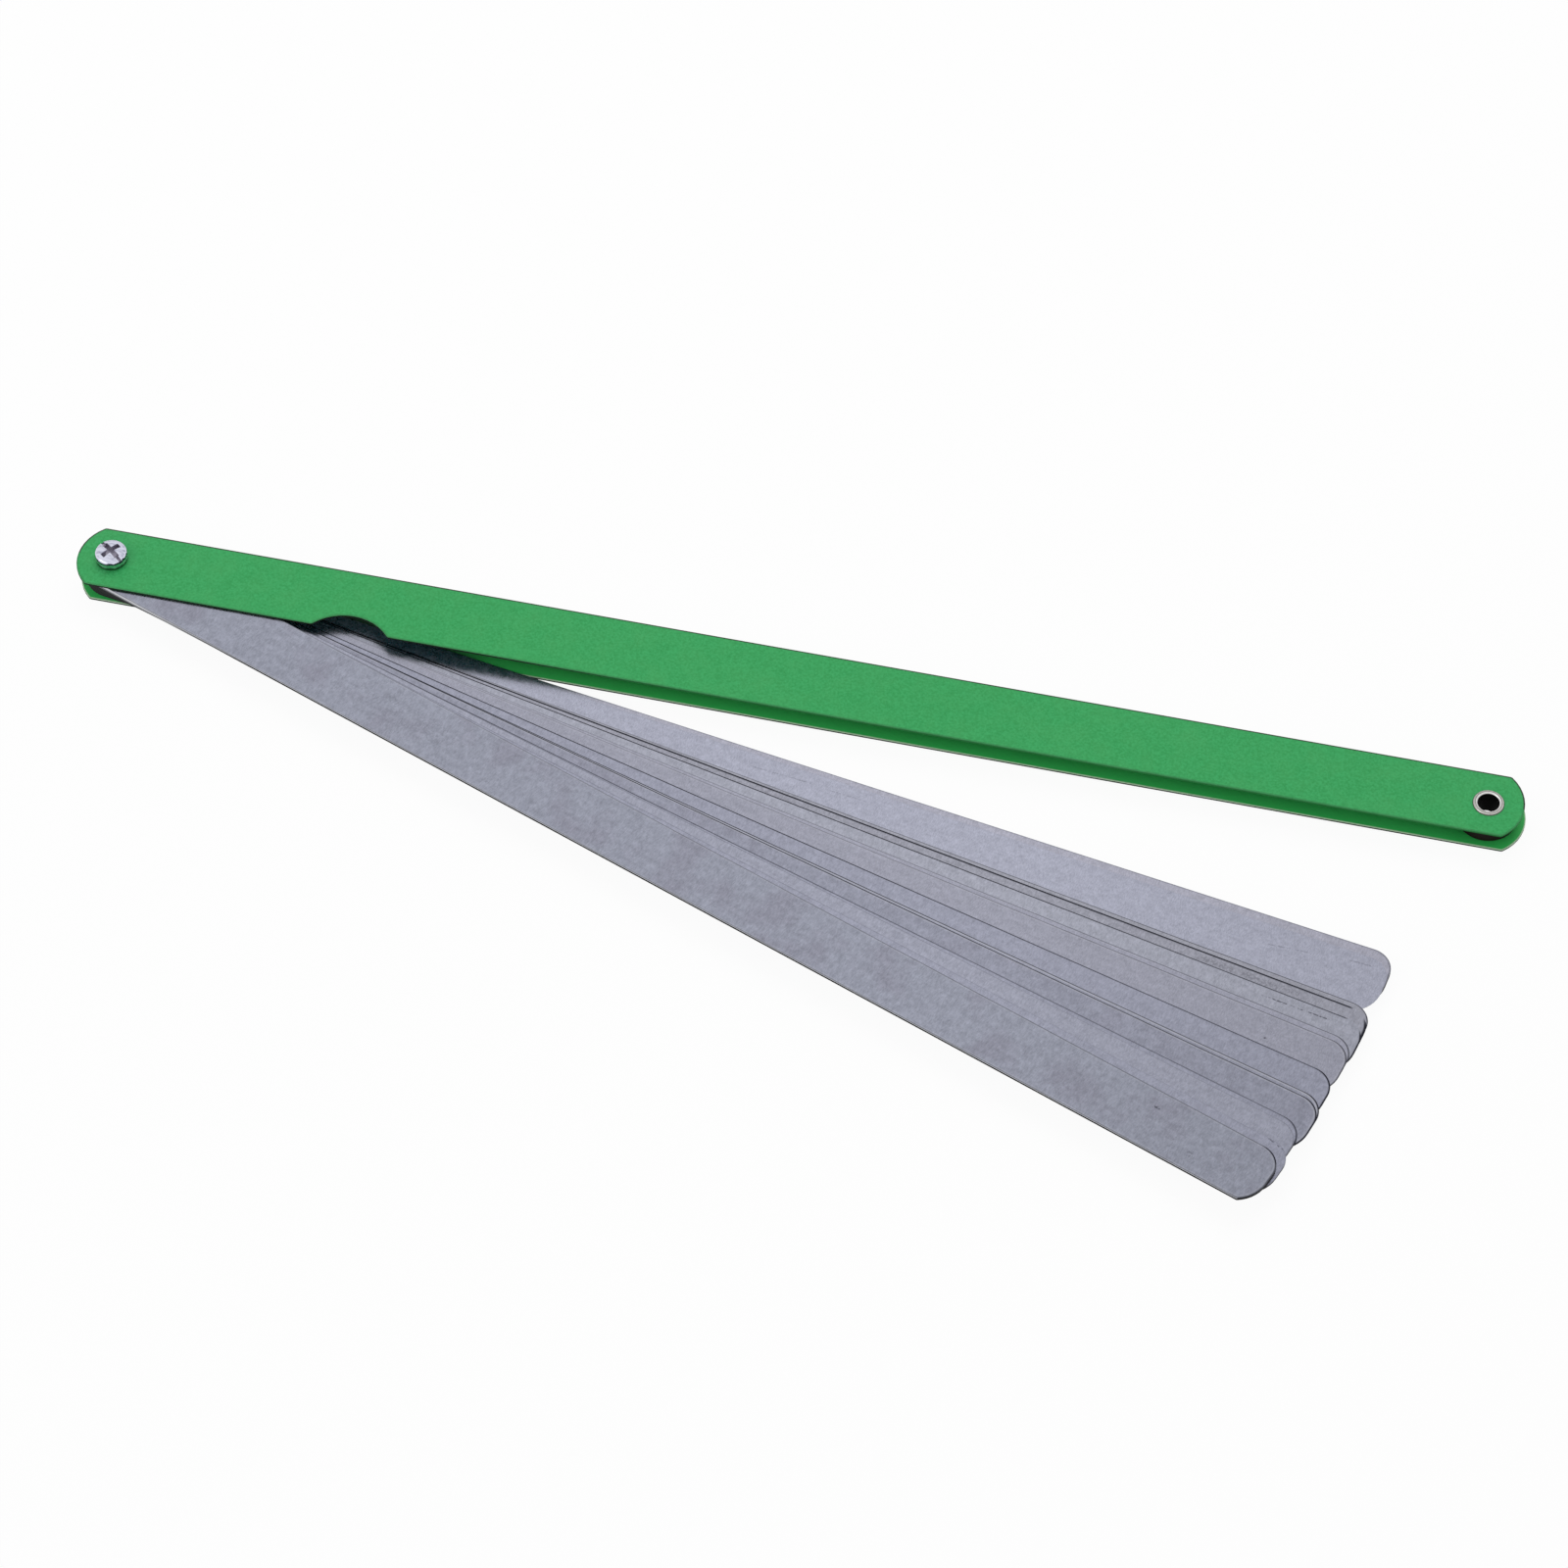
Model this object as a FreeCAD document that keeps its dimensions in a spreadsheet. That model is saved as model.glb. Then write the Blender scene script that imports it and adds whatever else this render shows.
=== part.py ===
import FreeCAD, Part
import math
import os
import Sketcher

# Folding feeler gauge: fourteen ground steel leaves that turn on one pivot between two
# stamped sheet covers, with a hanging eyelet and its spacer at the far end of the case.
# Frame: the origin is on the pivot axis at the flat face of the barrel nut's head, +X runs
# along the case from the pivot to the eyelet, +Z goes up through the stack, and the leaves
# swing out of the case to the -Y side. All sizes are in millimetres and degrees.

# The driving dimensions, each one a cell of the sheet with the alias given here
SIZES = {
    # case
    "eyelet_distance": 303.0,     # pivot axis to eyelet axis
    "cover_width": 16.0,
    "cover_sheet": 0.6,           # thickness of each cover
    "cover_pivot_margin": 7.6,    # pivot axis to the end of the top cover
    "cover_eyelet_margin": 7.7,   # eyelet axis to the other end
    "bottom_cover_offset": 0.65,  # its holes are punched this much nearer its pivot end
    "cover_end_flatness": 2.2,    # the end arc's radius less half the width
    "cover_corner_radius": 1.0,   # where the end arc meets the long edges
    "cover_rim_bevel": 0.1,       # tumbled and painted rim of the sheet
    "notch_distance": 56.0,       # pivot axis to the middle of the thumb notch
    "notch_radius": 11.0,
    "notch_depth": 4.0,
    "notch_corner_radius": 0.8,
    # leaves
    "leaf_width": 13.8,
    "leaf_reach": 292.5,          # pivot axis to tip, before each leaf's own difference
    "leaf_tail": 6.0,             # pivot axis to the round short end
    "leaf_tip_flatness": 0.7,     # the tip arc's radius less half the width
    "leaf_far_radius": 4.9,       # the tip's rounded corner on the far edge
    "leaf_near_radius": 0.5,      # the tip's blunt corner on the near edge
    "leaf_clearance": 0.02,       # air between neighbours in the stack
    "pivot_clearance": 0.05,      # radial, leaf or cover hole on the barrel
    # pivot hardware
    "barrel_radius": 2.5,
    "barrel_gap": 0.15,           # barrel end stays below the screw head, so the screw clamps
    "nut_head_radius": 4.5,
    "nut_head_thickness": 1.2,
    "nut_head_bevel": 0.35,
    "thread_radius": 1.75,        # bore of the barrel
    "thread_clearance": 0.05,     # radial, plain shank in the bore
    "screw_tip_gap": 0.6,         # screw tip to the bottom of the bore
    "screw_tip_chamfer": 0.4,
    "screw_head_radius": 3.5,
    "screw_head_height": 2.95,
    "screw_side_height": 2.2,     # straight side below the crown
    "screw_head_rounding": 0.6,
    "recess_span": 4.5,           # cross recess, tip to tip of its wings
    "recess_wing": 1.1,           # width of a wing at the crown
    "recess_depth": 1.6,
    "recess_taper": 11.0,         # degrees, each wall leans in towards the floor
    "slot_width": 0.7,            # the slot that crosses the whole head
    "slot_depth": 1.1,
    "screw_turn": 53.0,           # degrees from +X to the wings without the slot
    # far end hardware
    "eyelet_bore_radius": 2.25,
    "eyelet_wall": 0.3,
    "eyelet_lip_radius": 3.4,
    "eyelet_lip_height": 0.4,     # domed lip on top
    "eyelet_foot_height": 0.35,   # lip below, pressed flat when the eyelet is set
    "eyelet_foot_slope": 0.25,    # how far its sides lean
    "eyelet_clearance": 0.05,     # radial, eyelet in the covers and in the spacer
    "spacer_radius": 6.5,
    "spacer_bevel": 0.25,
}

# The leaves and their thickness, from the bottom of the stack to the top
LEAF_THICKNESS = {
    "leaf_1_00mm": 1.00,
    "leaf_0_05mm": 0.05,
    "leaf_0_06mm": 0.06,
    "leaf_0_07mm": 0.07,
    "leaf_0_08mm": 0.08,
    "leaf_0_09mm": 0.09,
    "leaf_0_10mm": 0.10,
    "leaf_0_15mm": 0.15,
    "leaf_0_20mm": 0.20,
    "leaf_0_25mm": 0.25,
    "leaf_0_30mm": 0.30,
    "leaf_0_40mm": 0.40,
    "leaf_0_50mm": 0.50,
    "leaf_0_75mm": 0.75,
}

# How much further each leaf reaches than leaf_reach; they were cut to length one by one
LEAF_DIFFERENCE = {
    "leaf_1_00mm": 0.50,
    "leaf_0_05mm": 0.35,
    "leaf_0_06mm": 0.60,
    "leaf_0_07mm": 0.70,
    "leaf_0_08mm": 0.70,
    "leaf_0_09mm": 0.20,
    "leaf_0_10mm": 0.20,
    "leaf_0_15mm": 0.15,
    "leaf_0_20mm": 0.75,
    "leaf_0_25mm": 0.80,
    "leaf_0_30mm": -0.30,
    "leaf_0_40mm": -0.30,
    "leaf_0_50mm": 0.75,
    "leaf_0_75mm": 0.05,
}

# How far each leaf is swung out of the case as it lies here, in degrees
LEAF_ANGLE = {
    "leaf_1_00mm": 9.35,
    "leaf_0_05mm": 9.80,
    "leaf_0_06mm": 12.25,
    "leaf_0_07mm": 12.50,
    "leaf_0_08mm": 13.10,
    "leaf_0_09mm": 14.10,
    "leaf_0_10mm": 14.40,
    "leaf_0_15mm": 16.00,
    "leaf_0_20mm": 17.30,
    "leaf_0_25mm": 17.55,
    "leaf_0_30mm": 18.85,
    "leaf_0_40mm": 19.15,
    "leaf_0_50mm": 20.20,
    "leaf_0_75mm": 20.75,
}


class Size:
    # A value that also knows the sheet expression it comes from, so that a formula is
    # written once and both places a point and drives its constraint.

    def __init__(self, value, text):
        self.value = value
        self.text = text

    def __add__(self, other):
        return Size(self.value + value_of(other), "(%s + %s)" % (self.text, text_of(other)))

    def __sub__(self, other):
        return Size(self.value - value_of(other), "(%s - %s)" % (self.text, text_of(other)))

    def __mul__(self, other):
        return Size(self.value * value_of(other), "(%s * %s)" % (self.text, text_of(other)))

    def __truediv__(self, other):
        return Size(self.value / value_of(other), "(%s / %s)" % (self.text, text_of(other)))

    def __neg__(self):
        return Size(-self.value, "(-%s)" % self.text)


def value_of(term):
    return term.value if isinstance(term, Size) else term


def text_of(term):
    return term.text if isinstance(term, Size) else str(term)


def root(term):
    return Size(math.sqrt(term.value), "sqrt(%s)" % term.text)


def other_leg(longest, leg):
    # the third side of a right-angled triangle
    return root(longest * longest - leg * leg)


def bind(item, path, size):
    item.setExpression(path, text_of(size))


# Sketcher's own numbers for the points of an edge and for a sketch's two axes
POINT = {name: code for code, name in enumerate(("whole", "start", "end", "centre"))}
AXIS = {name: -code for code, name in enumerate(("across", "up"), start=1)}
# Slack when an edge is looked for by its place, in millimetres
SLACK = 1e-4


doc = FreeCAD.newDocument("feeler_gauge")


def fill_sheet():
    sheet = doc.addObject("Spreadsheet::Sheet", "sizes")
    values = dict(SIZES)
    for name, thickness in LEAF_THICKNESS.items():
        values[name + "_thickness"] = thickness
        values[name + "_difference"] = LEAF_DIFFERENCE[name]
        values[name + "_angle"] = LEAF_ANGLE[name]
    for row, (alias, value) in enumerate(values.items(), start=1):
        sheet.set("A%d" % row, alias)
        sheet.set("B%d" % row, str(value))
        sheet.setAlias("B%d" % row, alias)
    doc.recompute()
    return {alias: Size(float(sheet.get(alias)), "sizes." + alias) for alias in values}


size = fill_sheet()


# Bodies, sketches and features

def new_body(name, lift):
    body = doc.addObject("PartDesign::Body", name)
    body.Label = name
    body.Placement = FreeCAD.Placement(FreeCAD.Vector(), FreeCAD.Rotation(FreeCAD.Vector(0, 0, 1), 0))
    bind(body, "Placement.Base.z", lift)
    return body


def new_sketch(body, name, role="XY_Plane"):
    sketch = body.newObject("Sketcher::SketchObject", body.Name + "_" + name)
    plane = next(item for item in body.Origin.OriginFeatures if item.Role == role)
    sketch.AttachmentSupport = [(plane, "")]
    sketch.MapMode = "FlatFace"
    return sketch


def fix_point(sketch, geometry, position, across, up):
    # ties a point to the sketch's axes, at its own distances from them
    for kind, axis, place in (("DistanceX", "up", across), ("DistanceY", "across", up)):
        if value_of(place) == 0:
            sketch.addConstraint(Sketcher.Constraint("PointOnObject", geometry, position, AXIS[axis]))
            continue
        number = sketch.addConstraint(Sketcher.Constraint(
            kind, AXIS["across"], POINT["start"], geometry, position, value_of(place)))
        bind(sketch, "Constraints[%d]" % number, place)


def fix_radius(sketch, geometry, radius):
    number = sketch.addConstraint(Sketcher.Constraint("Radius", geometry, value_of(radius)))
    bind(sketch, "Constraints[%d]" % number, radius)


def outward_arc(start, end, radius):
    # the short arc that bulges outwards on an outline drawn counter-clockwise
    half = (end - start) / 2
    inwards = FreeCAD.Vector(-half.y, half.x, 0).normalize()
    centre = start + half + inwards * math.sqrt(radius ** 2 - half.Length ** 2)
    from_angle = math.atan2(start.y - centre.y, start.x - centre.x)
    to_angle = math.atan2(end.y - centre.y, end.x - centre.x)
    if to_angle < from_angle:
        to_angle += 2 * math.pi
    circle = Part.Circle(centre, FreeCAD.Vector(0, 0, 1), radius)
    return Part.ArcOfCircle(circle, from_angle, to_angle)


def draw_outline(sketch, corners):
    # corners go counter-clockwise: across, up, and the radius of the edge that leaves the
    # corner, or None where that edge is straight
    points = [FreeCAD.Vector(value_of(across), value_of(up), 0) for across, up, _ in corners]
    for number, (_, _, radius) in enumerate(corners):
        start = points[number]
        end = points[(number + 1) % len(points)]
        if radius is None:
            sketch.addGeometry(Part.LineSegment(start, end), False)
        else:
            sketch.addGeometry(outward_arc(start, end, value_of(radius)), False)
    for number, (across, up, radius) in enumerate(corners):
        following = (number + 1) % len(corners)
        sketch.addConstraint(Sketcher.Constraint(
            "Coincident", number, POINT["end"], following, POINT["start"]))
        fix_point(sketch, number, POINT["start"], across, up)
        if radius is not None:
            fix_radius(sketch, number, radius)


def draw_circle(sketch, across, up, radius):
    centre = FreeCAD.Vector(value_of(across), value_of(up), 0)
    circle = Part.Circle(centre, FreeCAD.Vector(0, 0, 1), value_of(radius))
    number = sketch.addGeometry(circle, False)
    fix_point(sketch, number, POINT["centre"], across, up)
    fix_radius(sketch, number, radius)


def pad(body, sketch, length):
    feature = body.newObject("PartDesign::Pad", body.Name + "_pad")
    feature.Profile = sketch
    bind(feature, "Length", length)
    doc.recompute()


def cut_through(body, sketch):
    before = body.Shape.Volume
    feature = body.newObject("PartDesign::Pocket", sketch.Name + "_cut")
    feature.Profile = sketch
    feature.Type = "ThroughAll"
    feature.Reversed = True
    doc.recompute()
    if not body.Shape.Volume < before:
        raise RuntimeError(feature.Name + " cuts nothing")


def cut_down(body, sketch, depth, taper=None):
    before = body.Shape.Volume
    feature = body.newObject("PartDesign::Pocket", sketch.Name + "_cut")
    feature.Profile = sketch
    bind(feature, "Length", depth)
    if taper is not None:
        bind(feature, "TaperAngle", taper)
    doc.recompute()
    if not body.Shape.Volume < before:
        raise RuntimeError(feature.Name + " cuts nothing")


def revolve(body, sketch):
    feature = body.newObject("PartDesign::Revolution", body.Name + "_turned")
    feature.Profile = sketch
    feature.ReferenceAxis = (sketch, ["V_Axis"])
    feature.Angle = 360
    doc.recompute()


def dress_edges(body, kind, name, wanted):
    # a fillet or chamfer on those edges of the body so far that the test picks
    base = body.Tip
    edges = ["Edge%d" % number for number, edge in enumerate(base.Shape.Edges, start=1) if wanted(edge)]
    if not edges:
        raise RuntimeError("%s_%s finds no edge" % (body.Name, name))
    feature = body.newObject("PartDesign::" + kind, body.Name + "_" + name)
    feature.Base = (base, edges)
    return feature


def round_edges(body, name, radius, wanted):
    bind(dress_edges(body, "Fillet", name, wanted), "Radius", radius)
    doc.recompute()


def bevel_edges(body, name, width, wanted):
    bind(dress_edges(body, "Chamfer", name, wanted), "Size", width)
    doc.recompute()


def is_upright(edge):
    box = edge.BoundBox
    return box.ZLength > 0 and math.hypot(box.XLength, box.YLength) < box.ZLength / 1000


def is_level(edge):
    return edge.BoundBox.ZLength < SLACK


def is_ring(edge, radius, height):
    box = edge.BoundBox
    same_radius = abs(box.XLength / 2 - value_of(radius)) < SLACK
    return is_level(edge) and same_radius and abs(box.ZMin - value_of(height)) < SLACK


# Heights through the stack, from the flat face of the nut's head upwards

bottom_cover_lift = size["nut_head_thickness"]
stack_lift = bottom_cover_lift + size["cover_sheet"]
leaf_space = size["leaf_clearance"]
for leaf_name in LEAF_THICKNESS:
    leaf_space = leaf_space + size[leaf_name + "_thickness"] + size["leaf_clearance"]
top_cover_lift = stack_lift + leaf_space
case_height = size["cover_sheet"] * 2 + leaf_space
case_top = bottom_cover_lift + case_height
pivot_hole_radius = size["barrel_radius"] + size["pivot_clearance"]
eyelet_outer_radius = size["eyelet_bore_radius"] + size["eyelet_wall"]
eyelet_hole_radius = eyelet_outer_radius + size["eyelet_clearance"]


def make_cover(name, lift, offset):
    # both covers are the same stamping but for where the two holes lie in it: flat sheet with
    # arc ends and a thumb notch in the near edge that bares the leaves' edges
    half_width = size["cover_width"] / 2
    end_radius = half_width + size["cover_end_flatness"]
    end_bulge = end_radius - other_leg(end_radius, half_width)
    corner_left = end_bulge - size["cover_pivot_margin"] + offset
    corner_right = size["eyelet_distance"] + size["cover_eyelet_margin"] - end_bulge + offset
    body = new_body(name, lift)
    blank = new_sketch(body, "outline")
    draw_outline(blank, [
        (corner_left, -half_width, None),
        (corner_right, -half_width, end_radius),
        (corner_right, half_width, None),
        (corner_left, half_width, end_radius),
    ])
    pad(body, blank, size["cover_sheet"])
    round_edges(body, "corners", size["cover_corner_radius"], is_upright)
    notch = new_sketch(body, "notch")
    notch_across = size["notch_distance"] + offset
    notch_up = size["notch_depth"] - size["notch_radius"] - half_width
    draw_circle(notch, notch_across, notch_up, size["notch_radius"])
    cut_through(body, notch)

    def is_notch_corner(edge):
        place = edge.BoundBox.Center
        reach = math.hypot(place.x - notch_across.value, place.y - notch_up.value)
        return is_upright(edge) and abs(reach - size["notch_radius"].value) < SLACK

    round_edges(body, "notch_corners", size["notch_corner_radius"], is_notch_corner)
    bevel_edges(body, "rims", size["cover_rim_bevel"], is_level)
    holes = new_sketch(body, "holes")
    draw_circle(holes, 0, 0, pivot_hole_radius)
    draw_circle(holes, size["eyelet_distance"], 0, eyelet_hole_radius)
    cut_through(body, holes)
    return body


def make_leaf(name, lift):
    # a strip with one hole and a round tail; its tip is cut back by an arc to a blunt corner
    # on the near edge, and has a large round corner on the far edge
    half_width = size["leaf_width"] / 2
    reach = size["leaf_reach"] + size[name + "_difference"]
    tip_radius = half_width + size["leaf_tip_flatness"]
    tip_arc_across = reach - tip_radius + other_leg(tip_radius, size["leaf_width"] - tip_radius)
    tail_centre = half_width - size["leaf_tail"]
    body = new_body(name, lift)
    blank = new_sketch(body, "outline")
    draw_outline(blank, [
        (tail_centre, -half_width, None),
        (tip_arc_across, -half_width, tip_radius),
        (reach, half_width - tip_radius, None),
        (reach, half_width - size["leaf_far_radius"], size["leaf_far_radius"]),
        (reach - size["leaf_far_radius"], half_width, None),
        (tail_centre, half_width, half_width),
        (-size["leaf_tail"], 0, half_width),
    ])
    pad(body, blank, size[name + "_thickness"])

    def is_blunt_corner(edge):
        place = edge.BoundBox.Center
        return is_upright(edge) and place.y < 0 and abs(place.x - tip_arc_across.value) < SLACK

    round_edges(body, "corner", size["leaf_near_radius"], is_blunt_corner)
    hole = new_sketch(body, "hole")
    draw_circle(hole, 0, 0, pivot_hole_radius)
    cut_through(body, hole)
    bind(body, "Placement.Rotation.Angle", -size[name + "_angle"])
    return body


def make_leaves():
    lift = stack_lift + size["leaf_clearance"]
    leaves = []
    for name in LEAF_THICKNESS:
        leaves.append(make_leaf(name, lift))
        lift = lift + size[name + "_thickness"] + size["leaf_clearance"]
    return leaves


def make_barrel_nut():
    # closed-head barrel nut: its plain barrel is the axle of the leaves
    head_radius = size["nut_head_radius"]
    head = size["nut_head_thickness"]
    barrel_end = case_top - size["barrel_gap"]
    body = new_body("pivot_barrel_nut", 0)
    profile = new_sketch(body, "profile", "XZ_Plane")
    draw_outline(profile, [
        (0, 0, None),
        (head_radius, 0, None),
        (head_radius, head, None),
        (size["barrel_radius"], head, None),
        (size["barrel_radius"], barrel_end, None),
        (size["thread_radius"], barrel_end, None),
        (size["thread_radius"], head, None),
        (0, head, None),
    ])
    revolve(body, profile)
    bevel_edges(body, "rim", size["nut_head_bevel"], lambda edge: is_ring(edge, head_radius, 0))
    return body


def make_screw():
    # pan head screw that clamps the covers on the barrel nut; a cross recess, and a slot
    # across the whole head along one pair of its wings
    head_radius = size["screw_head_radius"]
    side = size["screw_side_height"]
    crown = size["screw_head_height"]
    rise = crown - side
    crown_radius = (head_radius * head_radius + rise * rise) / (rise * 2)
    shank_radius = size["thread_radius"] - size["thread_clearance"]
    chamfer = size["screw_tip_chamfer"]
    shank_end = size["screw_tip_gap"] - case_height
    body = new_body("pivot_screw", case_top)
    profile = new_sketch(body, "profile", "XZ_Plane")
    draw_outline(profile, [
        (0, shank_end, None),
        (shank_radius - chamfer, shank_end, None),
        (shank_radius, shank_end + chamfer, None),
        (shank_radius, 0, None),
        (head_radius, 0, None),
        (head_radius, side, crown_radius),
        (0, crown, None),
    ])
    revolve(body, profile)
    round_edges(body, "shoulder", size["screw_head_rounding"],
                lambda edge: is_ring(edge, head_radius, side))
    span = size["recess_span"] / 2
    wing = size["recess_wing"] / 2
    recess = new_sketch(body, "recess")
    bind(recess, "AttachmentOffset.Base.z", crown)
    draw_outline(recess, [
        (span, -wing, None), (span, wing, None), (wing, wing, None),
        (wing, span, None), (-wing, span, None), (-wing, wing, None),
        (-span, wing, None), (-span, -wing, None), (-wing, -wing, None),
        (-wing, -span, None), (wing, -span, None), (wing, -wing, None),
    ])
    cut_down(body, recess, size["recess_depth"], size["recess_taper"])
    slot_half = size["slot_width"] / 2
    slot = new_sketch(body, "slot")
    bind(slot, "AttachmentOffset.Base.z", crown)
    draw_outline(slot, [
        (-slot_half, -head_radius, None),
        (slot_half, -head_radius, None),
        (slot_half, head_radius, None),
        (-slot_half, head_radius, None),
    ])
    cut_down(body, slot, size["slot_depth"])
    bind(body, "Placement.Rotation.Angle", size["screw_turn"])
    return body


def make_eyelet():
    # a tube set through both covers and the spacer: its domed lip is on top, and its foot is
    # rolled out below and pressed flat
    bore = size["eyelet_bore_radius"]
    lip = size["eyelet_lip_radius"]
    half_lip = (lip - bore) / 2
    rise = size["eyelet_lip_height"]
    dome = (half_lip * half_lip + rise * rise) / (rise * 2)
    foot = size["eyelet_foot_height"]
    slope = size["eyelet_foot_slope"]
    body = new_body("end_eyelet", bottom_cover_lift)
    bind(body, "Placement.Base.x", size["eyelet_distance"])
    profile = new_sketch(body, "profile", "XZ_Plane")
    draw_outline(profile, [
        (bore, 0, None),
        (bore + slope, -foot, None),
        (lip - slope, -foot, None),
        (lip, 0, None),
        (eyelet_outer_radius, 0, None),
        (eyelet_outer_radius, case_height, None),
        (lip, case_height, dome),
        (bore, case_height, None),
    ])
    revolve(body, profile)
    return body


def make_spacer():
    # black washer that keeps the covers as far apart as the stack of leaves
    radius = size["spacer_radius"]
    body = new_body("end_spacer", stack_lift)
    bind(body, "Placement.Base.x", size["eyelet_distance"])
    ring = new_sketch(body, "ring")
    draw_circle(ring, 0, 0, radius)
    pad(body, ring, leaf_space)
    bevel_edges(body, "rims", size["spacer_bevel"], is_level)
    hole = new_sketch(body, "hole")
    draw_circle(hole, 0, 0, eyelet_hole_radius)
    cut_through(body, hole)
    return body


def check_document():
    for item in doc.Objects:
        if "Invalid" in item.State or "Error" in item.State:
            raise RuntimeError("%s is in state %s" % (item.Name, item.State))


def check_parts(parts):
    for body in parts:
        shape = body.Shape
        if shape.isNull() or not shape.isValid():
            raise RuntimeError(body.Label + " has no valid shape")
        if len(shape.Solids) != 1:
            raise RuntimeError("%s has %d solids" % (body.Label, len(shape.Solids)))


def write_parts(parts):
    os.makedirs("parts", exist_ok=True)
    for body in parts:
        body.Shape.exportStep(os.path.join("parts", body.Label + ".step"))
        print("%-18s %9.3f mm3" % (body.Label, body.Shape.Volume))


parts = [
    make_cover("bottom_cover", bottom_cover_lift, size["bottom_cover_offset"]),
    make_cover("top_cover", top_cover_lift, 0),
    make_barrel_nut(),
    make_screw(),
    make_eyelet(),
    make_spacer(),
]
parts += make_leaves()
doc.recompute()
check_document()
check_parts(parts)
write_parts(parts)
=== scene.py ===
import math

import bpy
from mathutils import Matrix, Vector

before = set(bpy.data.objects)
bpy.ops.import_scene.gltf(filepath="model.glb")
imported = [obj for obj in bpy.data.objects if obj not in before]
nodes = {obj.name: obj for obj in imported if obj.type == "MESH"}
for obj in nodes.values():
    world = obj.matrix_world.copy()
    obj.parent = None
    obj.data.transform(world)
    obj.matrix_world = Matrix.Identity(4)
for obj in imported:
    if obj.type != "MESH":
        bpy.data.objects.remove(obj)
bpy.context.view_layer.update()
print("parts loaded:", len(nodes))

mm = 0.001


def linear(hexColour):
    # sRGB hex to the linear colour that Blender works in
    values = [int(hexColour[i:i + 2], 16) / 255 for i in (1, 3, 5)]
    return [v / 12.92 if v <= 0.04045 else ((v + 0.055) / 1.055) ** 2.4 for v in values] + [1.0]


def feed(node, inputs):
    # inputs: name or place of a socket in use -> a value, or the output that feeds it
    inUse = [socket for socket in node.inputs if socket.enabled]
    for key, value in inputs.items():
        socket = inUse[key] if isinstance(key, int) else next(s for s in inUse if s.name == key)
        if isinstance(value, bpy.types.NodeSocket):
            node.id_data.links.new(value, socket)
        else:
            socket.default_value = value


def addNode(tree, kind, inputs=None, **settings):
    # gives the new node's first output in use
    node = tree.nodes.new("ShaderNode" + kind)
    for key, value in settings.items():
        setattr(node, key, value)
    feed(node, inputs or {})
    return next(socket for socket in node.outputs if socket.enabled)


def over(start, end):
    # inputs of a map range that changes between these two values
    return {"From Min": start, "From Max": end}


def startMaterial(name):
    # gives the material, its tree, its shader and the place on the object
    material = bpy.data.materials.new(name)
    material.use_nodes = True
    tree = material.node_tree
    place = tree.nodes.new("ShaderNodeTexCoord").outputs["Object"]
    return material, tree, tree.nodes["Principled BSDF"], place


def give(material, *names):
    for name in names:
        mesh = nodes[name].data
        mesh.materials.clear()
        mesh.materials.append(material)


def facingUp(tree):
    # 1 where the surface faces up, 0 on a side, -1 where it faces down
    normal = tree.nodes.new("ShaderNodeNewGeometry").outputs["Normal"]
    return addNode(tree, "SeparateXYZ", {0: normal}).node.outputs[2]


def radiusFrom(tree, place, centre):
    # distance from the upright axis through the centre
    reach = addNode(tree, "VectorMath", {0: place, 1: centre}, operation="SUBTRACT")
    reach = addNode(tree, "VectorMath", {0: reach, 1: (1, 1, 0)}, operation="MULTIPLY")
    return addNode(tree, "VectorMath", {0: reach}, operation="LENGTH")


def depthIn(tree, place, corner):
    # how far in from a round corner's outline, going on as straight sides beyond its arc
    reach = addNode(tree, "VectorMath", {0: place, 1: corner["centre"]}, operation="SUBTRACT")
    reach = addNode(tree, "VectorMath", {0: reach, 1: corner["low"]}, operation="MAXIMUM")
    reach = addNode(tree, "VectorMath", {0: reach, 1: corner["high"]}, operation="MINIMUM")
    reach = addNode(tree, "VectorMath", {0: reach}, operation="LENGTH")
    return addNode(tree, "Math", {0: corner["radius"], 1: reach}, operation="SUBTRACT")


def steppedColour(tree, value, steps, soft):
    # steps: from this value in mm on, its colour; each change is twice as wide as soft
    colour = linear(steps[0][1])
    for start, following in steps[1:]:
        beyond = addNode(tree, "MapRange", {"Value": value, **over((start - soft) * mm, (start + soft) * mm)})
        colour = addNode(tree, "Mix", {"Factor": beyond, "A": colour, "B": linear(following)},
                         data_type="RGBA")
    return colour


# Camera, as the photograph was taken: a long lens, the case turned a little from square
view = {
    "target": (0.15601, -0.02387, 0.0012),   # the point in the middle of the frame
    "turn": 12.780,      # degrees round from the -Y side
    "height": 52.738,    # degrees above the horizon
    "distance": 1.14705,
    "lens": 123.75,      # mm, on the sensor's width in mm, square frame
    "sensor": 36,
    "clip": (0.01, 20),
}


def makeCamera():
    turn, height = math.radians(view["turn"]), math.radians(view["height"])
    back = Vector((math.sin(turn) * math.cos(height), -math.cos(turn) * math.cos(height), math.sin(height)))
    camera = bpy.data.objects.new("camera", bpy.data.cameras.new("camera"))
    bpy.context.scene.collection.objects.link(camera)
    camera.data.sensor_width = view["sensor"]
    camera.data.lens = view["lens"]
    camera.data.clip_start, camera.data.clip_end = view["clip"]
    camera.location = Vector(view["target"]) + back * view["distance"]
    camera.rotation_mode = "QUATERNION"
    camera.rotation_quaternion = (-back).to_track_quat("-Z", "Y")
    bpy.context.scene.camera = camera


makeCamera()
print("camera placed")


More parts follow.
